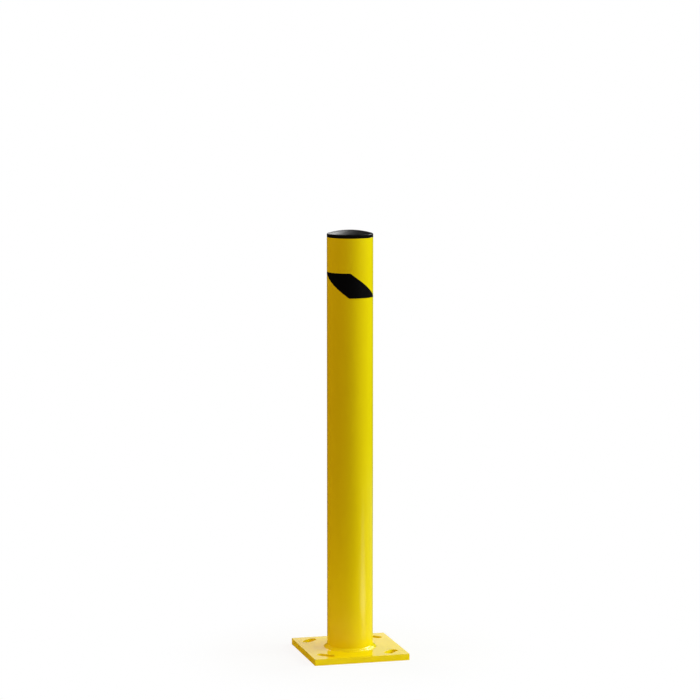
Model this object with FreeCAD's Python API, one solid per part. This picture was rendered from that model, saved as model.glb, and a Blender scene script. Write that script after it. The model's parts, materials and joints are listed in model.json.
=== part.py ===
# Steel bollard: a capped pipe post welded to a slotted base plate. All sizes are in millimetres.
# The origin is the centre of the plate's underside. +Z runs up the post, +X and +Y run along the
# plate's sides, and the front is towards -Y.
import FreeCAD
import Part

import math
import os

from FreeCAD import Vector

# Base plate
PLATE_SIDE = 241.3  # 9 1/2 in square
PLATE_THICKNESS = 15.9  # 5/8 in
PLATE_EDGE_BEVEL = 0.5  # sharp edges are ground off before coating

# Fixing slots, one near each corner, each running across its corner's diagonal
SLOT_SPACING = 167.0  # centre to centre along X and along Y
SLOT_WIDTH = 22.2  # 7/8 in, clears a 3/4 in bolt
SLOT_LENGTH = 47.6  # 1 7/8 in over the rounded ends

# Post pipe, 4 in nominal
PIPE_DIAMETER = 114.3
PIPE_WALL = 6.0
PIPE_LENGTH = 1028.0
PIPE_RIM_BREAK = 0.8  # chamfer on both edges of the sawn top end

# Fillet weld all round the foot of the pipe
WELD_HEIGHT = 6.5  # up the pipe
WELD_WIDTH = 9.0  # out along the plate

# End cap: a domed head with a hollow, finned plug below it
CAP_EDGE_HEIGHT = 8.5  # upright side of the head, over the pipe's rim
CAP_EDGE_ROUND = 2.6
CAP_DOME_RISE = 8.5
CAP_WALL = 4.0
CAP_PLUG_DEPTH = 34.0
CAP_PLUG_CLEARANCE = 2.4  # between the plug's wall and the bore, bridged by the fins
CAP_FIN_COUNT = 2
CAP_FIN_HEIGHT = 3.6  # along the axis, where a fin leaves the plug's wall
CAP_FIN_CLEARANCE = 0.1  # between a fin's tip and the bore
CAP_NOSE_CHAMFER = 1.6

# Warning stripe: a vinyl patch wrapped on the pipe, with slanted ends
STRIPE_HEIGHT = 61.5
STRIPE_BELOW_RIM = 85.5  # from the pipe's rim down to the stripe's upper edge
STRIPE_ARC = 86.0  # degrees of the pipe that each level edge covers
STRIPE_LEAN = 83.0  # degrees that the stripe moves round the pipe over its height
STRIPE_BEARING = -105.0  # polar angle of the stripe's middle, just left of the front
STRIPE_THICKNESS = 0.3
STRIPE_GLUE = 0.05  # layer of adhesive under the film

# Sizes that follow from those above
PIPE_RADIUS = PIPE_DIAMETER / 2
BORE_RADIUS = PIPE_RADIUS - PIPE_WALL
RIM_Z = PLATE_THICKNESS + PIPE_LENGTH
PLUG_RADIUS = BORE_RADIUS - CAP_PLUG_CLEARANCE
FIN_RADIUS = BORE_RADIUS - CAP_FIN_CLEARANCE

ORIGIN = Vector(0, 0, 0)
POST_AXIS = Vector(0, 0, 1)
OFFSET_TOLERANCE = 1e-4


def section_point(radius, height):
    """A point of a turned section, which lies in the XZ plane."""
    return Vector(radius, 0, height)


def straight_edges(corners):
    """Edges that join a row of (radius, height) corners in order."""
    points = [section_point(*corner) for corner in corners]
    return [Part.LineSegment(a, b).toShape() for a, b in zip(points, points[1:])]


def arc_edge(start, middle, end):
    """An arc through three (radius, height) corners."""
    points = [section_point(*corner) for corner in (start, middle, end)]
    return Part.Arc(*points).toShape()


def turned(edges):
    """The solid that a closed section makes when it is turned about the post's axis."""
    section = Part.Face(Part.Wire(edges))
    return section.revolve(ORIGIN, POST_AXIS, 360)


def slot_cutter(centre_x, centre_y):
    """A round-ended prism through the plate, lying across the line from the post to its centre."""
    end_radius = SLOT_WIDTH / 2
    reach = SLOT_LENGTH / 2 - end_radius
    half_turn = 180
    ends = [
        Part.makeCircle(end_radius, Vector(reach, 0, 0), POST_AXIS, -half_turn / 2, half_turn / 2),
        Part.makeCircle(end_radius, Vector(-reach, 0, 0), POST_AXIS, half_turn / 2, half_turn * 1.5),
    ]
    sides = [
        Part.makeLine(Vector(reach, end_radius, 0), Vector(-reach, end_radius, 0)),
        Part.makeLine(Vector(-reach, -end_radius, 0), Vector(reach, -end_radius, 0)),
    ]
    outline = Part.Wire([ends[0], sides[0], ends[1], sides[1]])
    cutter = Part.Face(outline).extrude(Vector(0, 0, PLATE_THICKNESS))
    diagonal = math.degrees(math.atan2(centre_y, centre_x))
    cutter.rotate(ORIGIN, POST_AXIS, diagonal + 90)
    cutter.translate(Vector(centre_x, centre_y, 0))
    return cutter


def base_plate():
    """Square plate with its outer edges bevelled and four fixing slots cut through it."""
    corner = Vector(-PLATE_SIDE / 2, -PLATE_SIDE / 2, 0)
    plate = Part.makeBox(PLATE_SIDE, PLATE_SIDE, PLATE_THICKNESS, corner)
    plate = plate.makeChamfer(PLATE_EDGE_BEVEL, plate.Edges)
    offset = SLOT_SPACING / 2
    slots = [slot_cutter(x, y) for x in (-offset, offset) for y in (-offset, offset)]
    return plate.cut(slots)


def post_pipe():
    """Sawn length of pipe that stands on the plate, open from end to end."""
    corners = [
        (BORE_RADIUS, PLATE_THICKNESS),
        (PIPE_RADIUS, PLATE_THICKNESS),
        (PIPE_RADIUS, RIM_Z - PIPE_RIM_BREAK),
        (PIPE_RADIUS - PIPE_RIM_BREAK, RIM_Z),
        (BORE_RADIUS + PIPE_RIM_BREAK, RIM_Z),
        (BORE_RADIUS, RIM_Z - PIPE_RIM_BREAK),
    ]
    return turned(straight_edges(corners + corners[:1]))


def weld_bead():
    """Fillet weld in the corner between the pipe and the plate, wider than it is high."""
    root = (PIPE_RADIUS, PLATE_THICKNESS)
    plate_toe = (PIPE_RADIUS + WELD_WIDTH, PLATE_THICKNESS)
    pipe_toe = (PIPE_RADIUS, PLATE_THICKNESS + WELD_HEIGHT)
    return turned(straight_edges([root, plate_toe, pipe_toe, root]))


def plug_outline():
    """Outside of the plug from the rim down to its nose, with the fins that grip the bore."""
    pitch = (CAP_PLUG_DEPTH - CAP_NOSE_CHAMFER) / (CAP_FIN_COUNT + 0.5)
    corners = [(PLUG_RADIUS, RIM_Z)]
    for number in range(1, CAP_FIN_COUNT + 1):
        fin_top = RIM_Z - number * pitch + CAP_FIN_HEIGHT / 2
        corners += [
            (PLUG_RADIUS, fin_top),
            (FIN_RADIUS, fin_top),
            (PLUG_RADIUS, fin_top - CAP_FIN_HEIGHT),
        ]
    nose_z = RIM_Z - CAP_PLUG_DEPTH
    corners += [
        (PLUG_RADIUS, nose_z + CAP_NOSE_CHAMFER),
        (PLUG_RADIUS - CAP_NOSE_CHAMFER, nose_z),
    ]
    return corners


def head_outline():
    """Dome of the cap's head and the rounded corner that joins it to the upright side."""
    edge_z = RIM_Z + CAP_EDGE_HEIGHT
    dome_radius = (PIPE_RADIUS**2 + CAP_DOME_RISE**2) / (2 * CAP_DOME_RISE)
    dome_centre_z = edge_z + CAP_DOME_RISE - dome_radius

    def on_dome(slope):
        return (dome_radius * math.sin(slope), dome_centre_z + dome_radius * math.cos(slope))

    # The rounding touches the dome from inside and the upright side of the head
    round_x = PIPE_RADIUS - CAP_EDGE_ROUND
    round_slope = math.asin(round_x / (dome_radius - CAP_EDGE_ROUND))
    round_z = dome_centre_z + (dome_radius - CAP_EDGE_ROUND) * math.cos(round_slope)

    def on_round(slope):
        return (round_x + CAP_EDGE_ROUND * math.sin(slope), round_z + CAP_EDGE_ROUND * math.cos(slope))

    upright = math.pi / 2
    peak = on_dome(0)
    dome_end = on_dome(round_slope)
    side_top = on_round(upright)
    dome = arc_edge(peak, on_dome(round_slope / 2), dome_end)
    corner = arc_edge(dome_end, on_round((round_slope + upright) / 2), side_top)
    return peak, [dome, corner], side_top


def end_cap():
    """Moulded cap: a domed head as wide as the pipe, over a hollow plug with fins."""
    peak, head, side_top = head_outline()
    plug = plug_outline()
    hollow_radius = PLUG_RADIUS - CAP_WALL
    nose_z = plug[-1][1]
    ceiling_z = RIM_Z + CAP_EDGE_HEIGHT - CAP_WALL
    outside = [side_top, (PIPE_RADIUS, RIM_Z)] + plug
    inside = [plug[-1], (hollow_radius, nose_z), (hollow_radius, ceiling_z), (0, ceiling_z), peak]
    return turned(head + straight_edges(outside) + straight_edges(inside))


def warning_stripe():
    """Vinyl patch on the pipe: two level edges, and two slanted edges that wind round it."""
    upper_z = RIM_Z - STRIPE_BELOW_RIM
    lower_z = upper_z - STRIPE_HEIGHT
    start = STRIPE_BEARING - (STRIPE_ARC + STRIPE_LEAN) / 2
    corners = [
        (start, upper_z),
        (start + STRIPE_ARC, upper_z),
        (start + STRIPE_ARC + STRIPE_LEAN, lower_z),
        (start + STRIPE_LEAN, lower_z),
    ]
    full_turn = 360  # keeps every angle positive on the pipe's surface
    unrolled = [FreeCAD.Base.Vector2d(math.radians(angle + full_turn), z) for angle, z in corners]
    glue_surface = Part.Cylinder()
    glue_surface.Radius = PIPE_RADIUS + STRIPE_GLUE
    sides = zip(unrolled, unrolled[1:] + unrolled[:1])
    edges = [Part.Geom2d.Line2dSegment(a, b).toShape(glue_surface) for a, b in sides]
    film = Part.Face(glue_surface, Part.Wire(edges))
    return film.makeOffsetShape(STRIPE_THICKNESS, OFFSET_TOLERANCE, fill=True)


PIECES = {
    "base_plate": base_plate,
    "post_pipe": post_pipe,
    "weld_bead": weld_bead,
    "end_cap": end_cap,
    "warning_stripe": warning_stripe,
}

os.makedirs("parts", exist_ok=True)
for name, make in PIECES.items():
    piece = make()
    piece.exportStep(f"parts/{name}.step")
    print(f"{name}: {piece.ShapeType}, {len(piece.Solids)} solid, {piece.Volume / 1000:.1f} cm3")
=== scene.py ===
# %% [markdown]
# # A steel bollard, dressed in Blender
# A bollard is a short, heavy post that keeps vehicles off a wall, a door or a rack. This one is a pipe
# welded to a square plate, coated in bright yellow, with a black plug in its top and a black film round it.
# The construction comes from CAD and is loaded as a fixed frame. Each piece is then made again as a finer
# mesh in the same place, with the rounded edges, the weld ripples and the finish that the eye looks for.
# Everything is in metres. The origin is the middle of the plate's underside, +Z runs up the post, and the
# front is towards -Y.

import json
import math

import bpy
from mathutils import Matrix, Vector


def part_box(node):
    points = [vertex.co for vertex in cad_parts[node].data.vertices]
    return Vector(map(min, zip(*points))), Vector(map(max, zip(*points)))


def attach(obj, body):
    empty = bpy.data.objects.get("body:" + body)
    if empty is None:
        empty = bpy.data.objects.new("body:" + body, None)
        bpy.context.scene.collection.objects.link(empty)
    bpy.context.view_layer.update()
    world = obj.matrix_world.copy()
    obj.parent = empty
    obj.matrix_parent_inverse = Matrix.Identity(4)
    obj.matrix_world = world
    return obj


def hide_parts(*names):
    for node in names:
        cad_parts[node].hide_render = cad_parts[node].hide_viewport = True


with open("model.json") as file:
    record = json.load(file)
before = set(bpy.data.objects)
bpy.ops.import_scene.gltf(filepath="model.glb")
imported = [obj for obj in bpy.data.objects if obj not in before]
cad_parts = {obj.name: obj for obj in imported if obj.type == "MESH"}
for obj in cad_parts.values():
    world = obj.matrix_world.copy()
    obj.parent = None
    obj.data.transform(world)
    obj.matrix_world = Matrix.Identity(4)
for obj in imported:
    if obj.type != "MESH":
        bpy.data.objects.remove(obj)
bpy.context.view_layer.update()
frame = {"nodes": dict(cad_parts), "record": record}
scene = bpy.context.scene
print("CAD nodes:", ", ".join(sorted(frame["nodes"])))

# %% [markdown]
# ## Measures
# A piece that stands in for a CAD node has to be exactly where that node is. Its sizes could all be typed in
# again, but what the frame can tell is better read from it: the boxes of the nodes, and the record's own list
# of mounts. The plate and the pipe carry everything else, so they are measured first. What a box can't tell,
# such as a wall or an angle, is typed in by the piece that needs it.

# %% Read the measures
MM = 0.001
plate_low, plate_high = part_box("base_plate")
pipe_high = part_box("post_pipe")[1]

PLATE_SIDE = plate_high.x - plate_low.x
PLATE_TOP = plate_high.z
PIPE_RADIUS = pipe_high.x
RIM_Z = pipe_high.z
print(f"plate {PLATE_SIDE / MM:.1f} mm, pipe {2 * PIPE_RADIUS / MM:.1f} mm, rim at {RIM_Z / MM:.1f} mm")

# %% [markdown]
# ## Helpers for node trees
# Materials and Geometry Nodes are both graphs: a node has settings, and each of its inputs holds a value or
# a link from another node. One function can add any node of either kind, so the trees below read as a list
# of steps. Colours are written as the sRGB hex values that a paint chart gives, but shaders do their sums on
# linear light, so another function turns the one into the other.

# %% Helpers for nodes and colours
def socket(sockets, key):
    """The one of a node's inputs or outputs that has this identifier or name."""
    return next(s for s in sockets if key in (s.identifier, s.name))


def feed(tree, node, inputs):
    """Fills inputs of a node. Each takes a value, a socket, or a node for its first output."""
    for key, value in inputs.items():
        if isinstance(value, bpy.types.Node):
            value = value.outputs[0]
        if isinstance(value, bpy.types.NodeSocket):
            tree.links.new(value, socket(node.inputs, key))
        else:
            socket(node.inputs, key).default_value = value


def add(tree, kind, inputs=None, **settings):
    """Adds a node with its settings and fills its inputs."""
    node = tree.nodes.new(kind)
    for name, value in settings.items():
        setattr(node, name, value)
    feed(tree, node, inputs or {})
    return node


def linear(hex_colour):
    """The linear RGBA of an sRGB hex colour."""
    shares = [int(hex_colour[i:i + 2], 16) / 255 for i in (1, 3, 5)]
    return [s / 12.92 if s <= 0.04045 else ((s + 0.055) / 1.055) ** 2.4 for s in shares] + [1.0]


print("a mid grey in linear light:", round(linear("#808080")[0], 3))

# %% [markdown]
# ## Powder coat
# The steel is sprayed with a dry polyester powder and baked, so the powder melts into one thick, glossy skin.
# It could be a single flat colour, but a real coat isn't that even: it pools into a faint orange-peel ripple
# a few millimetres across, and its thickness wanders over the width of a hand. A clear layer over a base
# would be wrong too, because powder is one layer. So this is one dielectric shader of a polyester's IOR, with
# noise for the tint and the gloss, and a small bump for the peel.

# %% Yellow powder coat
COAT_THIN, COAT_THICK = "#EFD308", "#F5DB0A"
COAT_DRIFT_MM = 90
COAT_ROUGHNESS = (0.13, 0.21)
COAT_IOR = 1.5
PEEL_MM = 3.0
PEEL_DEPTH = 0.05 * MM
PEEL_STRENGTH = 0.35


def per_metre(size_mm):
    """The scale that gives a pattern features of this size on Object coordinates."""
    return 1 / (size_mm * MM)


def new_material(name):
    """A new material, its node tree and its Principled shader."""
    material = bpy.data.materials.new(name)
    material.use_nodes = True
    tree = material.node_tree
    return material, tree, tree.nodes["Principled BSDF"]


def powder_coat():
    """Polyester powder, sprayed on steel and baked."""
    # To the eye: a deep, even yellow, with clean highlights that a faint orange peel softens
    material, tree, shader = new_material("yellow_polyester_powder_coat")
    place = add(tree, "ShaderNodeTexCoord").outputs["Object"]
    drift = add(tree, "ShaderNodeTexNoise", {
        "Vector": place, "Scale": per_metre(COAT_DRIFT_MM), "Detail": 2.0,
    })
    tint = add(tree, "ShaderNodeMix", {
        "Factor_Float": drift, "A_Color": linear(COAT_THIN), "B_Color": linear(COAT_THICK),
    }, data_type="RGBA")
    gloss = add(tree, "ShaderNodeMapRange", {
        "Value": drift, "To Min": COAT_ROUGHNESS[0], "To Max": COAT_ROUGHNESS[1],
    })
    # The peel is drawn at the size of a real, coarse one
    peel = add(tree, "ShaderNodeTexNoise", {"Vector": place, "Scale": per_metre(PEEL_MM), "Detail": 1.0})
    bump = add(tree, "ShaderNodeBump", {
        "Height": peel, "Strength": PEEL_STRENGTH, "Distance": PEEL_DEPTH,
    })
    feed(tree, shader, {
        "Base Color": socket(tint.outputs, "Result_Color"),
        "Roughness": gloss,
        "Normal": bump,
        "IOR": COAT_IOR,
    })
    return material


YELLOW = powder_coat()
print("made", YELLOW.name)

# %% [markdown]
# ## Moulded polyethylene
# The plug in the pipe's top is injection moulded from soft black polyethylene. The mould's spark-eroded face
# leaves a fine, even grain that turns a mirror into a soft sheen. Modelled grains would be far too many, so
# the grain is bump, and the sheen comes from the roughness, which drifts a little where the melt flowed.

# %% Black polyethylene
PLASTIC_BLACK = "#0C0C0D"
PLASTIC_ROUGHNESS = (0.33, 0.39)
PLASTIC_IOR = 1.51
FLOW_MM = 25
GRAIN_MM = 0.6
GRAIN_DEPTH = 0.02 * MM
GRAIN_STRENGTH = 0.2


def polyethylene():
    """Black polyethylene, moulded against a spark-eroded face."""
    # To the eye: a waxy half gloss, grey where it mirrors a lamp and never sharp
    material, tree, shader = new_material("black_moulded_polyethylene")
    place = add(tree, "ShaderNodeTexCoord").outputs["Object"]
    # The real grain is about a tenth of a millimetre. It is drawn coarser, so that a close view shows it.
    grain = add(tree, "ShaderNodeTexNoise", {"Vector": place, "Scale": per_metre(GRAIN_MM), "Detail": 2.0})
    flow = add(tree, "ShaderNodeTexNoise", {"Vector": place, "Scale": per_metre(FLOW_MM), "Detail": 1.0})
    sheen = add(tree, "ShaderNodeMapRange", {
        "Value": flow, "To Min": PLASTIC_ROUGHNESS[0], "To Max": PLASTIC_ROUGHNESS[1],
    })
    bump = add(tree, "ShaderNodeBump", {
        "Height": grain, "Strength": GRAIN_STRENGTH, "Distance": GRAIN_DEPTH,
    })
    feed(tree, shader, {
        "Base Color": linear(PLASTIC_BLACK),
        "Roughness": sheen,
        "Normal": bump,
        "IOR": PLASTIC_IOR,
    })
    return material


BLACK_PLASTIC = polyethylene()
print("made", BLACK_PLASTIC.name)

# %% [markdown]
# ## Calendered vinyl
# The black patch is cut from a roll of self-adhesive vinyl. Rollers press the film flat, which leaves a low
# satin face with a long, very shallow waviness. From a distance a flat black would do, because the film sits
# on the coat like paint. Closer up, its satin is what tells it from the glossy yellow, so the waviness drives
# both the roughness and a slight bump.

# %% Black vinyl
FILM_BLACK = "#070708"
FILM_ROUGHNESS = (0.36, 0.46)
FILM_IOR = 1.53
WAVE_MM = 7
WAVE_DEPTH = 0.04 * MM
WAVE_STRENGTH = 0.25


def vinyl_film():
    """Vinyl film, pressed flat between rollers."""
    # To the eye: a deep black satin, a little uneven where it catches the light
    material, tree, shader = new_material("black_calendered_vinyl")
    place = add(tree, "ShaderNodeTexCoord").outputs["Object"]
    # The waviness is drawn at its real size
    wave = add(tree, "ShaderNodeTexNoise", {"Vector": place, "Scale": per_metre(WAVE_MM), "Detail": 1.0})
    satin = add(tree, "ShaderNodeMapRange", {
        "Value": wave, "To Min": FILM_ROUGHNESS[0], "To Max": FILM_ROUGHNESS[1],
    })
    bump = add(tree, "ShaderNodeBump", {
        "Height": wave, "Strength": WAVE_STRENGTH, "Distance": WAVE_DEPTH,
    })
    feed(tree, shader, {
        "Base Color": linear(FILM_BLACK),
        "Roughness": satin,
        "Normal": bump,
        "IOR": FILM_IOR,
    })
    return material


BLACK_FILM = vinyl_film()
print("made", BLACK_FILM.name)

# %% [markdown]
# ## From a tree to a piece
# A Geometry Nodes tree is a recipe with named inputs. An object carries it as a modifier, and the inputs are
# set there by each socket's identifier. The modifier could stay live, but the frame wants plain meshes. So
# the evaluated result is copied into a mesh, the modifiers are taken off, and the piece is put on the frame
# in place of its CAD node.

# %% Helpers for Geometry Nodes
SMOOTH_ANGLE = math.radians(35)


def new_tree(name, sizes, counts=()):
    """An empty Geometry Nodes tree with named inputs, and the sockets that give their values."""
    tree = bpy.data.node_groups.new(name, "GeometryNodeTree")
    kinds = {"Geometry": "NodeSocketGeometry", "Finish": "NodeSocketMaterial"}
    kinds.update({label: "NodeSocketFloat" for label in sizes})
    kinds.update({label: "NodeSocketInt" for label in counts})
    for label, kind in kinds.items():
        tree.interface.new_socket(label, in_out="INPUT", socket_type=kind)
    tree.interface.new_socket("Geometry", in_out="OUTPUT", socket_type="NodeSocketGeometry")
    return tree, tree.nodes.new("NodeGroupInput").outputs


def end_tree(tree, given, geometry):
    """Ends a tree: faces shade smooth, instances become real, and the finish goes on."""
    smooth = add(tree, "GeometryNodeSetShadeSmooth", {"Geometry": geometry})
    real = add(tree, "GeometryNodeRealizeInstances", {"Geometry": smooth})
    finished = add(tree, "GeometryNodeSetMaterial", {"Geometry": real, "Material": given["Finish"]})
    add(tree, "NodeGroupOutput", {"Geometry": finished})


def new_piece(name, tree, values, points=(), edges=()):
    """An object that carries the tree as a modifier, with its inputs set."""
    mesh = bpy.data.meshes.new(name)
    mesh.from_pydata(points, edges, [])
    piece = bpy.data.objects.new(name, mesh)
    scene.collection.objects.link(piece)
    recipe = piece.modifiers.new(tree.name, "NODES")
    recipe.node_group = tree
    sockets = {s.name: s.identifier for s in tree.interface.items_tree if s.in_out == "INPUT"}
    for label, value in values.items():
        recipe[sockets[label]] = value
    return piece


def finish_piece(piece, node):
    """Makes the piece a plain mesh and puts it on the frame in place of a CAD node."""
    evaluated = piece.evaluated_get(bpy.context.evaluated_depsgraph_get())
    plain = bpy.data.meshes.new_from_object(evaluated)
    piece.modifiers.clear()
    piece.data = plain
    plain.name = piece.name
    plain.set_sharp_from_angle(angle=SMOOTH_ANGLE)
    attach(piece, "root")
    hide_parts(node)
    triangles = sum(len(face.vertices) - 2 for face in plain.polygons)
    print(f"{piece.name}: {len(plain.vertices)} points, {triangles} triangles")


print("edges stay sharp from", round(math.degrees(SMOOTH_ANGLE)), "degrees")

# %% [markdown]
# ## Base plate
# The plate is cut from 16 mm steel, with four slots that let the bolts shift a little when the floor is
# drilled out of place. A boolean cut would work, but the plate is flat: an outline with four holes in it,
# given a thickness. So one slot outline is repeated on the four corners of a smaller square, each turned
# across its own diagonal, and the whole drawing is filled and raised. A bevel rounds the edges, because
# powder draws back from a sharp corner and every real edge catches a line of light.

# %% Outlines of the slots
SLOT_END_STEPS = 12
NEARLY_HALF = 0.4999  # at a full half, the two roundings of a slot's end would meet in double points


def slot_outlines(tree, given):
    """A round-ended outline on each corner of a square, turned across the corner's diagonal."""
    bar = add(tree, "GeometryNodeCurvePrimitiveQuadrilateral", {
        "Width": given["Slot length"], "Height": given["Slot width"],
    })
    end_radius = add(tree, "ShaderNodeMath", {
        "Value": given["Slot width"], "Value_001": NEARLY_HALF,
    }, operation="MULTIPLY")
    slot = add(tree, "GeometryNodeFilletCurve", {
        "Curve": bar, "Radius": end_radius, "Count": SLOT_END_STEPS,
    }, mode="POLY")
    corners = add(tree, "GeometryNodeCurvePrimitiveQuadrilateral", {
        "Width": given["Slot spacing"], "Height": given["Slot spacing"],
    })
    corner = add(tree, "ShaderNodeSeparateXYZ", {"Vector": add(tree, "GeometryNodeInputPosition")})
    diagonal = add(tree, "ShaderNodeMath", {
        "Value": corner.outputs["Y"], "Value_001": corner.outputs["X"],
    }, operation="ARCTAN2")
    across = add(tree, "ShaderNodeMath", {"Value": diagonal, "Value_001": math.pi / 2}, operation="ADD")
    turn = add(tree, "ShaderNodeCombineXYZ", {"Z": across})
    return add(tree, "GeometryNodeInstanceOnPoints", {
        "Points": corners, "Instance": slot, "Rotation": turn,
    })


print("points round a slot's end:", 2 * (SLOT_END_STEPS + 1))

# %% Tree for the base plate
CORNER_STEPS = 3
JOIN_DISTANCE = 0.001 * MM


def plate_tree():
    """A square outline and its slots, filled and raised to a plate."""
    tree, given = new_tree("slotted_plate", [
        "Side", "Thickness", "Corner radius", "Slot spacing", "Slot length", "Slot width",
    ])
    square = add(tree, "GeometryNodeCurvePrimitiveQuadrilateral", {
        "Width": given["Side"], "Height": given["Side"],
    })
    outline = add(tree, "GeometryNodeFilletCurve", {
        "Curve": square, "Radius": given["Corner radius"], "Count": CORNER_STEPS,
    }, mode="POLY")
    # Join Geometry takes any number of links, so it is fed twice
    drawing = add(tree, "GeometryNodeJoinGeometry", {"Geometry": slot_outlines(tree, given)})
    feed(tree, drawing, {"Geometry": outline})
    flat = add(tree, "GeometryNodeRealizeInstances", {"Geometry": drawing})
    sheet = add(tree, "GeometryNodeFillCurve", {"Curve": flat}, mode="NGONS")
    up = add(tree, "ShaderNodeCombineXYZ", {"Z": given["Thickness"]})
    raised = add(tree, "GeometryNodeExtrudeMesh", {"Mesh": sheet, "Offset": up, "Individual": False})
    underside = add(tree, "GeometryNodeFlipFaces", {"Mesh": sheet})
    closed = add(tree, "GeometryNodeJoinGeometry", {"Geometry": raised})
    feed(tree, closed, {"Geometry": underside})
    plate = add(tree, "GeometryNodeMergeByDistance", {"Geometry": closed, "Distance": JOIN_DISTANCE})
    end_tree(tree, given, plate)
    return tree


PLATE_TREE = plate_tree()
print("plate tree:", len(PLATE_TREE.nodes), "nodes")

# %% Base plate
PLATE_EDGE_ROUND = 0.5 * MM
EDGE_STEPS = 4
EDGE_ANGLE = math.radians(50)  # upper and lower edges turn by more, the facets of corners and slots by less
LARGE_FACES_WIN = 100  # the modifier's highest weight
slot_sizes = next(m["dims"] for m in frame["record"]["mounts"] if "slot_length_mm" in m["dims"])

base_plate = new_piece("coated_base_plate", PLATE_TREE, {
    "Side": PLATE_SIDE,
    "Thickness": PLATE_TOP,
    "Corner radius": PLATE_EDGE_ROUND,
    "Slot spacing": slot_sizes["spacing_x_mm"] * MM,
    "Slot length": slot_sizes["slot_length_mm"] * MM,
    "Slot width": 2 * slot_sizes["hole_r_mm"] * MM,
    "Finish": YELLOW,
})
edge = base_plate.modifiers.new("edge round", "BEVEL")
edge.width = PLATE_EDGE_ROUND
edge.segments = EDGE_STEPS
edge.limit_method = "ANGLE"
edge.angle_limit = EDGE_ANGLE
edge.loop_slide = False
flats = base_plate.modifiers.new("keep the flats flat", "WEIGHTED_NORMAL")
flats.weight = LARGE_FACES_WIN
finish_piece(base_plate, "base_plate")

# %% [markdown]
# ## Turned pieces
# The pipe and the plug are both round about the post's axis, so each is fully given by half of its section.
# Blender's Spin or Screw would turn the section, and so does Curve to Mesh with a circle as its path. That
# sweep carries the outline's x out from the circle and its y down, which is why the outline is laid out
# that way. Each corner is rounded with a few points, and a spare point on either side keeps the long flat
# walls shading flat.

# %% Outlines with rounded corners
ARC_STEPS = 6
SPARE = 0.25 * MM


def rounded_outline(corners):
    """Points of an outline of (radius, height, rounding) corners, with an arc at each rounded one."""
    points = []
    for before, here, after in zip(corners[-1:] + corners[:-1], corners, corners[1:] + corners[:1]):
        spot, rounding = Vector(here[:2]), here[2]
        if not rounding:
            points.append(spot)
            continue
        back = (Vector(before[:2]) - spot).normalized()
        ahead = (Vector(after[:2]) - spot).normalized()
        half = back.angle(ahead) / 2
        setback = rounding / math.tan(half)
        middle = spot + (back + ahead).normalized() * rounding / math.sin(half)
        first_spoke = (spot + back * setback - middle).normalized()
        last_spoke = (spot + ahead * setback - middle).normalized()
        points.append(spot + back * (setback + SPARE))
        for step in range(ARC_STEPS + 1):
            points.append(middle + first_spoke.slerp(last_spoke, step / ARC_STEPS) * rounding)
        points.append(spot + ahead * (setback + SPARE))
    return points


print("points at a rounded corner:", ARC_STEPS + 3)

# %% Tree for turned pieces
def swept_outline(tree, given):
    """The object's own outline, swept round a circle on the post's axis."""
    path = add(tree, "GeometryNodeCurvePrimitiveCircle", {
        "Radius": given["Path radius"], "Resolution": given["Facets"],
    })
    outline = add(tree, "GeometryNodeMeshToCurve", {"Mesh": given["Geometry"]})
    return add(tree, "GeometryNodeCurveToMesh", {"Curve": path, "Profile Curve": outline})


def turned_tree():
    """A swept outline whose points on the axis are merged to one."""
    tree, given = new_tree("turned_outline", ["Path radius"], ["Facets"])
    closed = add(tree, "GeometryNodeMergeByDistance", {
        "Geometry": swept_outline(tree, given), "Distance": JOIN_DISTANCE,
    })
    end_tree(tree, given, closed)
    return tree


TURNED_TREE = turned_tree()
print("turned tree:", len(TURNED_TREE.nodes), "nodes")

# %% Turning an outline
FACETS = 192


def laid_out(outline):
    """Points and edges of an outline of (radius, height) points, for the sweep. The axis gets no edge."""
    points = [(radius - PIPE_RADIUS, -height, 0) for radius, height in outline]
    pairs = [(i, (i + 1) % len(outline)) for i in range(len(outline))]
    return points, [pair for pair in pairs if max(outline[i][0] for i in pair) > 0]


def turned_piece(name, outline, finish):
    """A piece turned from an outline of (radius, height) points."""
    values = {"Path radius": PIPE_RADIUS, "Facets": FACETS, "Finish": finish}
    return new_piece(name, TURNED_TREE, values, *laid_out(outline))


print(f"a facet of the post is {math.tau * PIPE_RADIUS / FACETS / MM:.2f} mm wide")

# %% [markdown]
# ## Post pipe
# The post is a sawn length of standard pipe. The saw leaves two sharp edges on the rim, which are filed round
# before coating. A cylinder with a Solidify modifier would give the wall, but leave those edges sharp. So the
# pipe is turned, with its wall in section and the rounded rim as the outline.

# %% Post pipe
PIPE_WALL = 6.0 * MM
RIM_ROUND = 0.8 * MM
BORE_RADIUS = PIPE_RADIUS - PIPE_WALL

post_pipe = turned_piece("coated_post_pipe", rounded_outline([
    (BORE_RADIUS, PLATE_TOP, 0),
    (BORE_RADIUS, RIM_Z, RIM_ROUND),
    (PIPE_RADIUS, RIM_Z, RIM_ROUND),
    (PIPE_RADIUS, PLATE_TOP, 0),
]), YELLOW)
finish_piece(post_pipe, "post_pipe")

# %% [markdown]
# ## End cap
# The plug is moulded in one piece: a low dome as wide as the pipe, and below it a hollow skirt whose fins
# bend as it is knocked in and then grip the bore. A squashed sphere would do for the dome, which is all that
# shows. But a stranger may take the plug out, so the skirt is there too. All of it is round, so it is one
# more outline for the same tree.

# %% Sizes of the end cap
CAP_EDGE_HEIGHT = 8.5 * MM
CAP_EDGE_ROUND = 2.6 * MM
CAP_FOOT_ROUND = 0.5 * MM
CAP_WALL = 4.0 * MM
SKIRT_CLEARANCE = 2.4 * MM
NOSE_CHAMFER = 1.6 * MM
FIN_COUNT = 2
FIN_HEIGHT = 3.6 * MM
FIN_CLEARANCE = 0.1 * MM
DOME_STEPS = 18

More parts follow.
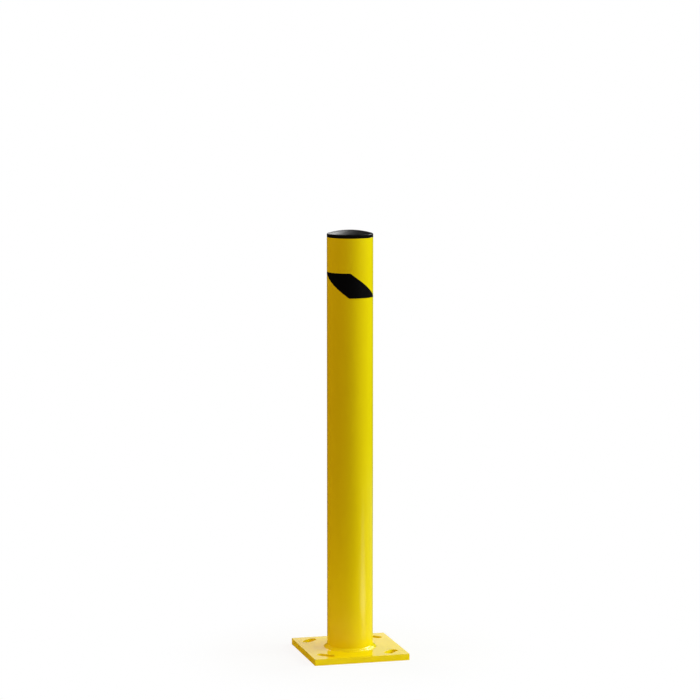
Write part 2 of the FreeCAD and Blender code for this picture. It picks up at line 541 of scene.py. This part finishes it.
cap_low, cap_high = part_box("end_cap")
skirt_radius = BORE_RADIUS - SKIRT_CLEARANCE
hollow_radius = skirt_radius - CAP_WALL
edge_z, peak_z, nose_z = RIM_Z + CAP_EDGE_HEIGHT, cap_high.z, cap_low.z
ceiling_z = edge_z - CAP_WALL
dome_rise = peak_z - edge_z
dome_radius = (PIPE_RADIUS**2 + dome_rise**2) / (2 * dome_rise)
print(f"the dome rises {dome_rise / MM:.1f} mm on a radius of {dome_radius / MM:.0f} mm")

# %% End cap
def dome_corners():
    """The dome's arc from the peak to just inside its edge."""
    radii = [PIPE_RADIUS * step / DOME_STEPS for step in range(DOME_STEPS)]
    return [(r, peak_z - dome_radius + math.sqrt(dome_radius**2 - r**2), 0) for r in radii]


def fin_corners():
    """Three corners for each fin: flat on top and sloped below, so that it goes in more easily than out."""
    pitch = (RIM_Z - nose_z - NOSE_CHAMFER) / (FIN_COUNT + 0.5)
    corners = []
    for number in range(1, FIN_COUNT + 1):
        top = RIM_Z - number * pitch + FIN_HEIGHT / 2
        corners.append((skirt_radius, top, 0))
        corners.append((BORE_RADIUS - FIN_CLEARANCE, top, 0))
        corners.append((skirt_radius, top - FIN_HEIGHT, 0))
    return corners


head = dome_corners() + [(PIPE_RADIUS, edge_z, CAP_EDGE_ROUND), (PIPE_RADIUS, RIM_Z, CAP_FOOT_ROUND)]
skirt = [(skirt_radius, RIM_Z, 0)] + fin_corners() + [
    (skirt_radius, nose_z + NOSE_CHAMFER, 0),
    (skirt_radius - NOSE_CHAMFER, nose_z, 0),
]
hollow = [(hollow_radius, nose_z, 0), (hollow_radius, ceiling_z, 0), (0, ceiling_z, 0)]
end_cap = turned_piece("moulded_end_cap", rounded_outline(head + skirt + hollow), BLACK_PLASTIC)
finish_piece(end_cap, "end_cap")

# %% [markdown]
# ## Weld
# One fillet weld runs all round the foot of the pipe. The welder lays it as a row of overlapping pools, which
# set as crescents about 5 mm apart, and the powder softens them. Bump alone would leave the outline smooth,
# so the ripples are real. The tree sweeps the weld's section as before, then pushes each point out along its
# normal by a wave of the angle round the post. The push fades to nothing at both toes, where the weld
# runs into the plate and the pipe, and slow noise makes the bead wander as a hand does.

# %% Fade towards the weld's toes
def toe_fade(tree, given, position, spot):
    """Nothing at both toes of the weld and one in the middle of its face."""
    # How far a point is out from the pipe and up from the plate, as shares of the weld's size
    level = add(tree, "ShaderNodeVectorMath", {
        "Vector": position, "Vector_001": (1, 1, 0),
    }, operation="MULTIPLY")
    reach = add(tree, "ShaderNodeVectorMath", {"Vector": level}, operation="LENGTH")
    past_pipe = add(tree, "ShaderNodeMath", {
        "Value": reach.outputs["Value"], "Value_001": given["Path radius"],
    }, operation="SUBTRACT")
    above_plate = add(tree, "ShaderNodeMath", {
        "Value": spot.outputs["Z"], "Value_001": given["Foot height"],
    }, operation="SUBTRACT")
    out = add(tree, "ShaderNodeMath", {"Value": past_pipe, "Value_001": given["Width"]}, operation="DIVIDE")
    up = add(tree, "ShaderNodeMath", {"Value": above_plate, "Value_001": given["Height"]}, operation="DIVIDE")
    # In the middle of the face both shares are a half, and their product is a quarter
    both = add(tree, "ShaderNodeMath", {"Value": out, "Value_001": up}, operation="MULTIPLY")
    return add(tree, "ShaderNodeMath", {"Value": both, "Value_001": 4.0}, operation="MULTIPLY")


def hump(share):
    """The same fade for a share of the way across the face."""
    return 4 * share * (1 - share)


print("fade at a toe and in the middle:", hump(0), hump(0.5))

# %% Tree for the weld
def weld_tree():
    """A swept section whose face is pushed out in ripples round the post."""
    tree, given = new_tree("rippled_weld", [
        "Path radius", "Foot height", "Width", "Height", "Ripple depth", "Ripple bow",
        "Wander", "Wander scale", "Seed",
    ], ["Facets", "Ripples"])
    bead = swept_outline(tree, given)
    position = add(tree, "GeometryNodeInputPosition")
    spot = add(tree, "ShaderNodeSeparateXYZ", {"Vector": position})
    fade = toe_fade(tree, given, position, spot)

    # A wave round the post, bowed across the face
    angle = add(tree, "ShaderNodeMath", {
        "Value": spot.outputs["Y"], "Value_001": spot.outputs["X"],
    }, operation="ARCTAN2")
    bow = add(tree, "ShaderNodeMath", {
        "Value": fade, "Value_001": given["Ripple bow"],
    }, operation="MULTIPLY")
    phase = add(tree, "ShaderNodeMath", {
        "Value": angle, "Value_001": given["Ripples"], "Value_002": bow,
    }, operation="MULTIPLY_ADD")
    wave = add(tree, "ShaderNodeMath", {"Value": phase}, operation="SINE")
    ripple = add(tree, "ShaderNodeMath", {
        "Value": wave, "Value_001": given["Ripple depth"],
    }, operation="MULTIPLY")

    # A slow wander in and out, added to the wave
    slow = add(tree, "ShaderNodeTexNoise", {
        "Vector": position, "W": given["Seed"], "Scale": given["Wander scale"], "Detail": 1.0,
    }, noise_dimensions="4D")
    about_zero = add(tree, "ShaderNodeMath", {"Value": slow, "Value_001": 0.5}, operation="SUBTRACT")
    rise = add(tree, "ShaderNodeMath", {
        "Value": about_zero, "Value_001": given["Wander"], "Value_002": ripple,
    }, operation="MULTIPLY_ADD")
    push = add(tree, "ShaderNodeMath", {"Value": rise, "Value_001": fade}, operation="MULTIPLY")
    offset = add(tree, "ShaderNodeVectorMath", {
        "Vector": add(tree, "GeometryNodeInputNormal"), "Scale": push,
    }, operation="SCALE")
    rippled = add(tree, "GeometryNodeSetPosition", {"Geometry": bead, "Offset": offset})
    end_tree(tree, given, rippled)
    return tree


WELD_TREE = weld_tree()
print("weld tree:", len(WELD_TREE.nodes), "nodes")

# %% Weld
FACE_STEPS = 12
FACE_BULGE = 0.15 * MM
RIPPLE_PITCH = 5.0 * MM
RIPPLE_DEPTH = 0.14 * MM
RIPPLE_BOW = 2.2  # radians of the wave by which a crescent's middle is shifted from its ends
FACETS_PER_RIPPLE = 10
WANDER = 0.9 * MM
WANDER_MM = 22
WANDER_SEED = 7.0

weld_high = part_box("weld_bead")[1]
weld_height = weld_high.z - PLATE_TOP
weld_width = weld_high.x - PIPE_RADIUS
pipe_toe = Vector((PIPE_RADIUS, PLATE_TOP + weld_height))
plate_toe = Vector((PIPE_RADIUS + weld_width, PLATE_TOP))
root = Vector((PIPE_RADIUS, PLATE_TOP))
outwards = Vector((weld_height, weld_width)).normalized()
shares = [step / FACE_STEPS for step in range(FACE_STEPS + 1)]
face = [pipe_toe.lerp(plate_toe, share) + outwards * FACE_BULGE * hump(share) for share in shares]
ripple_count = round(math.tau * (PIPE_RADIUS + weld_width / 2) / RIPPLE_PITCH)

weld = new_piece("coated_weld", WELD_TREE, {
    "Path radius": PIPE_RADIUS,
    "Facets": FACETS_PER_RIPPLE * ripple_count,
    "Foot height": PLATE_TOP,
    "Width": weld_width,
    "Height": weld_height,
    "Ripples": ripple_count,
    "Ripple depth": RIPPLE_DEPTH,
    "Ripple bow": RIPPLE_BOW,
    "Wander": WANDER,
    "Wander scale": per_metre(WANDER_MM),
    "Seed": WANDER_SEED,
    "Finish": YELLOW,
}, *laid_out(face + [root]))
finish_piece(weld, "weld_bead")
print("ripples round the weld:", ripple_count)

# %% [markdown]
# ## Warning stripe
# The stripe is a flat patch with two level edges and two slanted ones, pressed on round the pipe, where its
# slanted edges become helices. It could be painted on with a material, but a film has an edge that catches
# light. So a flat grid is bent by rule: along the grid is an angle round the post, up the grid is height,
# and the patch leans by moving round as it comes down. Solidify then gives the film its thickness.

# %% Tree for the stripe
GRID_COLUMNS = 65
GRID_ROWS = 41


def stripe_tree():
    """A grid bent round the post as a leaning patch."""
    tree, given = new_tree("wrapped_patch", ["Radius", "Start", "Arc", "Lean", "Lower edge", "Height"])
    grid = add(tree, "GeometryNodeMeshGrid", {
        "Size X": 1.0, "Size Y": 1.0, "Vertices X": GRID_COLUMNS, "Vertices Y": GRID_ROWS,
    })
    share = add(tree, "ShaderNodeSeparateXYZ", {"Vector": grid.outputs["UV Map"]})
    down = add(tree, "ShaderNodeMath", {"Value": 1.0, "Value_001": share.outputs["Y"]}, operation="SUBTRACT")
    along = add(tree, "ShaderNodeMath", {
        "Value": share.outputs["X"], "Value_001": given["Arc"], "Value_002": given["Start"],
    }, operation="MULTIPLY_ADD")
    angle = add(tree, "ShaderNodeMath", {
        "Value": down, "Value_001": given["Lean"], "Value_002": along,
    }, operation="MULTIPLY_ADD")
    height = add(tree, "ShaderNodeMath", {
        "Value": share.outputs["Y"], "Value_001": given["Height"], "Value_002": given["Lower edge"],
    }, operation="MULTIPLY_ADD")
    spoke = add(tree, "ShaderNodeCombineXYZ", {"X": given["Radius"], "Z": height})
    place = add(tree, "ShaderNodeVectorRotate", {"Vector": spoke, "Angle": angle}, rotation_type="Z_AXIS")
    bent = add(tree, "GeometryNodeSetPosition", {"Geometry": grid, "Position": place})
    end_tree(tree, given, bent)
    return tree


STRIPE_TREE = stripe_tree()
print("stripe tree:", len(STRIPE_TREE.nodes), "nodes")

# %% Warning stripe
FILM_THICKNESS = 0.3 * MM
GLUE = 0.05 * MM
STRIPE_ARC = math.radians(86)
STRIPE_LEAN = math.radians(83)
STRIPE_BEARING = math.radians(-105)
OUTWARDS_ONLY = 1.0
stripe_low, stripe_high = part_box("warning_stripe")

stripe = new_piece("vinyl_stripe", STRIPE_TREE, {
    "Radius": PIPE_RADIUS + GLUE,
    "Start": STRIPE_BEARING - (STRIPE_ARC + STRIPE_LEAN) / 2,
    "Arc": STRIPE_ARC,
    "Lean": STRIPE_LEAN,
    "Lower edge": stripe_low.z,
    "Height": stripe_high.z - stripe_low.z,
    "Finish": BLACK_FILM,
})
film = stripe.modifiers.new("film thickness", "SOLIDIFY")
film.thickness = FILM_THICKNESS
film.offset = OUTWARDS_ONLY
finish_piece(stripe, "warning_stripe")

# %% [markdown]
# ## Camera
# A camera close by would fit the post in with a short lens, but then its sides would lean together. So it
# stands well back with a long lens, as product photographers do, and the sides stay almost parallel. It looks
# slightly down, which shows the plate's top and a sliver of the dome. The Standard view transform shows
# colours about as they are written.

# %% Camera
CAMERA_DISTANCE = 7.0
CAMERA_TURN = math.radians(14.87)
CAMERA_HEIGHT = 1.6683
AIM_HEIGHT = 0.7631
LENS_MM = 146.87
SENSOR_MM = 36.0
UP = Vector((0, 0, 1))
towards_camera = Vector((-math.sin(CAMERA_TURN), -math.cos(CAMERA_TURN), 0))
rightwards = Vector((math.cos(CAMERA_TURN), -math.sin(CAMERA_TURN), 0))

camera = bpy.data.objects.new("camera", bpy.data.cameras.new("camera"))
scene.collection.objects.link(camera)
camera.data.lens = LENS_MM
camera.data.sensor_width = SENSOR_MM
camera.location = towards_camera * CAMERA_DISTANCE + UP * CAMERA_HEIGHT
aim = UP * AIM_HEIGHT - camera.location
camera.rotation_euler = aim.to_track_quat("-Z", "Y").to_euler()
scene.camera = camera
scene.view_settings.view_transform = "Standard"
print("camera at", [round(c, 3) for c in camera.location])

# %% [markdown]
# ## Floor
# The post stands on plain white paper. Paper lit until it photographs as pure white would throw far too much
# light back on the post, so the camera is told to see it as white, and a share of its real shading is mixed
# in near the plate for the shadow. The share fades with distance, so that the floor runs into the white room
# without an edge. The post doesn't mirror the paper: the cards further down stand for what it mirrors there.

# %% Floor
FLOOR_RADIUS = 0.5
FLOOR_STEPS = 96
SHADOW_SHARE = 0.15
WHITE, PAPER = "#FFFFFF", "#E6E6E6"
MATT = 0.9


def floor_paper():
    """Matt white paper that the camera sees as white, with the post's shadow near its foot."""
    material, tree, shader = new_material("white_paper")
    feed(tree, shader, {"Base Color": linear(PAPER), "Roughness": MATT, "Specular IOR Level": 0.0})
    place = add(tree, "ShaderNodeTexCoord").outputs["Object"]
    reach = add(tree, "ShaderNodeVectorMath", {"Vector": place}, operation="LENGTH")
    clear = add(tree, "ShaderNodeMapRange", {
        "Value": reach.outputs["Value"], "From Min": PLATE_SIDE / 2, "From Max": FLOOR_RADIUS,
        "To Min": 1 - SHADOW_SHARE, "To Max": 1.0,
    }, interpolation_type="SMOOTHSTEP")
    ray = add(tree, "ShaderNodeLightPath")
    plain = add(tree, "ShaderNodeMath", {
        "Value": ray.outputs["Is Camera Ray"], "Value_001": clear,
    }, operation="MULTIPLY")
    white = add(tree, "ShaderNodeEmission", {"Color": linear(WHITE), "Strength": 1.0})
    mix = add(tree, "ShaderNodeMixShader", {"Fac": plain, "Shader": shader, "Shader_001": white})
    feed(tree, tree.nodes["Material Output"], {"Surface": mix})
    return material


def stage_mesh(name, points, material):
    """A staged face, which isn't part of the bollard."""
    mesh = bpy.data.meshes.new(name)
    mesh.from_pydata(points, [], [range(len(points))])
    mesh.materials.append(material)
    thing = bpy.data.objects.new(name, mesh)
    scene.collection.objects.link(thing)
    return thing


turns = [math.tau * step / FLOOR_STEPS for step in range(FLOOR_STEPS)]
floor_rim = [(FLOOR_RADIUS * math.cos(turn), FLOOR_RADIUS * math.sin(turn), 0) for turn in turns]
floor = stage_mesh("floor", floor_rim, floor_paper())
floor.visible_glossy = False
print("floor radius", FLOOR_RADIUS, "m")

# %% [markdown]
# ## Backdrop
# A glossy plate shows what stands behind it. Seen at this low angle, its top is a mirror for the white wall,
# and that is why the yellow turns pale there. A wall all round would also whiten the black film and the
# weld, so only the patch that the plate can see is made, and only reflections see it.

# %% Backdrop
WALL_DISTANCE = 5.0
WALL_HALF_WIDTH = 1.2
WALL_LOW = 0.75
WALL_HIGH = 1.45
WALL_LIGHT = 1.0


def wall_paper():
    """White paper that is bright in reflections only."""
    material, tree, shader = new_material("white_wall")
    ray = add(tree, "ShaderNodeLightPath")
    mirrored = add(tree, "ShaderNodeMath", {
        "Value": ray.outputs["Is Glossy Ray"], "Value_001": ray.outputs["Is Transmission Ray"],
    }, operation="MAXIMUM")
    strength = add(tree, "ShaderNodeMath", {
        "Value": mirrored, "Value_001": WALL_LIGHT,
    }, operation="MULTIPLY")
    white = add(tree, "ShaderNodeEmission", {"Color": linear(WHITE), "Strength": strength})
    feed(tree, tree.nodes["Material Output"], {"Surface": white})
    tree.nodes.remove(shader)
    return material


wall_foot = -towards_camera * WALL_DISTANCE
half_width = rightwards * WALL_HALF_WIDTH
wall = stage_mesh("wall", [
    wall_foot - half_width + UP * WALL_LOW,
    wall_foot + half_width + UP * WALL_LOW,
    wall_foot + half_width + UP * WALL_HIGH,
    wall_foot - half_width + UP * WALL_HIGH,
], wall_paper())
wall.visible_camera = wall.visible_diffuse = wall.visible_shadow = False
print("wall from", WALL_LOW, "to", WALL_HIGH, "m")

# %% [markdown]
# ## Room
# Behind the post the photographer's room is plain white. A white world would light the post evenly from every
# side and take its roundness away. So the world is white to the camera and through anything clear, and almost
# dark to the light that falls on the post.

# %% Room
ROOM_LIGHT = 0.009

world = bpy.data.worlds.new("white room")
scene.world = world
world.use_nodes = True
room = world.node_tree
dim = room.nodes["Background"]
feed(room, dim, {"Color": linear(WHITE), "Strength": ROOM_LIGHT})
white = add(room, "ShaderNodeBackground", {"Color": linear(WHITE), "Strength": 1.0})
ray = add(room, "ShaderNodeLightPath")
through = add(room, "ShaderNodeMath", {
    "Value": ray.outputs["Is Camera Ray"], "Value_001": ray.outputs["Is Transmission Ray"],
}, operation="MAXIMUM")
seen = add(room, "ShaderNodeMixShader", {"Fac": through, "Shader": dim, "Shader_001": white})
feed(room, room.nodes["World Output"], {"Surface": seen})
print("room light on the post:", ROOM_LIGHT)

# %% [markdown]
# ## Light
# A round, glossy post shows every lamp as a line down its side. So the soft boxes that shade it are hidden
# from reflections, and what it mirrors is set apart, as a photographer does with white cards. The boxes stand
# in a ring and one hangs above. They are strongest on the right, a little green there and a little warm on
# the left, which is how a yellow coat goes from lemon on its bright side to amber on its dark one. Cards on
# the floor at the right give the long highlight that grows towards the foot, and two more behind the post
# give the sheen on the dome and on the weld.

# %% Soft boxes
WARM, COOL = "#FFDAC8", "#EBFFF3"
BOX_SIDE = 2.0
BOX_AIM_HEIGHT = 0.5
BOXES = {
    # name: bearing, distance, height, watts, tint
    "box_front": (0, 4.0, 1.9, 52, WARM),
    "box_right_front": (65, 4.0, 1.9, 60, COOL),
    "box_right": (90, 4.0, 1.9, 111, COOL),
    "box_right_back": (135, 4.0, 1.9, 75, COOL),
    "box_left_back": (-135, 4.0, 1.9, 67, WARM),
    "box_left": (-80, 4.0, 1.9, 50, WARM),
    "box_above": (0, 0.01, 3.2, 42, WHITE),
}


def direction(bearing):
    """The level direction away from the post: bearing 0 is towards the camera and 90 is to its right."""
    angle = math.radians(bearing)
    return towards_camera * math.cos(angle) + rightwards * math.sin(angle)


def area_lamp(name, spot, aim, width, length, watts, tint):
    """A rectangular lamp that shines along its aim and that the camera doesn't see."""
    lamp = bpy.data.objects.new(name, bpy.data.lights.new(name, "AREA"))
    scene.collection.objects.link(lamp)
    lamp.data.shape = "RECTANGLE"
    lamp.data.size, lamp.data.size_y = width, length
    lamp.data.energy = watts
    lamp.data.color = linear(tint)[:3]
    lamp.location = spot
    lamp.rotation_euler = aim.to_track_quat("-Z", "Y").to_euler()
    lamp.visible_camera = False
    return lamp


for name, (bearing, distance, height, watts, tint) in BOXES.items():
    spot = direction(bearing) * distance + UP * height
    box = area_lamp(name, spot, UP * BOX_AIM_HEIGHT - spot, BOX_SIDE, BOX_SIDE, watts, tint)
    box.visible_glossy = False
print("soft boxes:", len(BOXES))

# %% Cards
LEAN = 0.001  # just enough lean towards the post to turn the length of a lying card to it
CARDS = {
    # name: posture, bearing, distance, height, width, length, watts
    "card_dome": ("stands", 195, 5.0, 3.4, 2.0, 1.6, 42),
    "card_weld": ("stands", 136, 2.6, 2.7, 0.5, 2.0, 36),
    "floor_near": ("lies", 67, 0.42, 0.002, 0.14, 0.36, 0.096),
    "floor_mid": ("lies", 67, 0.75, 0.002, 0.26, 0.5, 0.43),
    "floor_far": ("lies", 67, 1.3, 0.002, 0.45, 1.4, 1.75),
    "floor_right": ("lies", 118, 1.35, 0.001, 2.4, 2.3, 3.9),
}

for name, (posture, bearing, distance, height, width, length, watts) in CARDS.items():
    inwards = -direction(bearing)
    aim = inwards if posture == "stands" else UP + inwards * LEAN
    card = area_lamp(name, UP * height - inwards * distance, aim, width, length, watts, WHITE)
    card.visible_diffuse = False
print("cards:", len(CARDS))
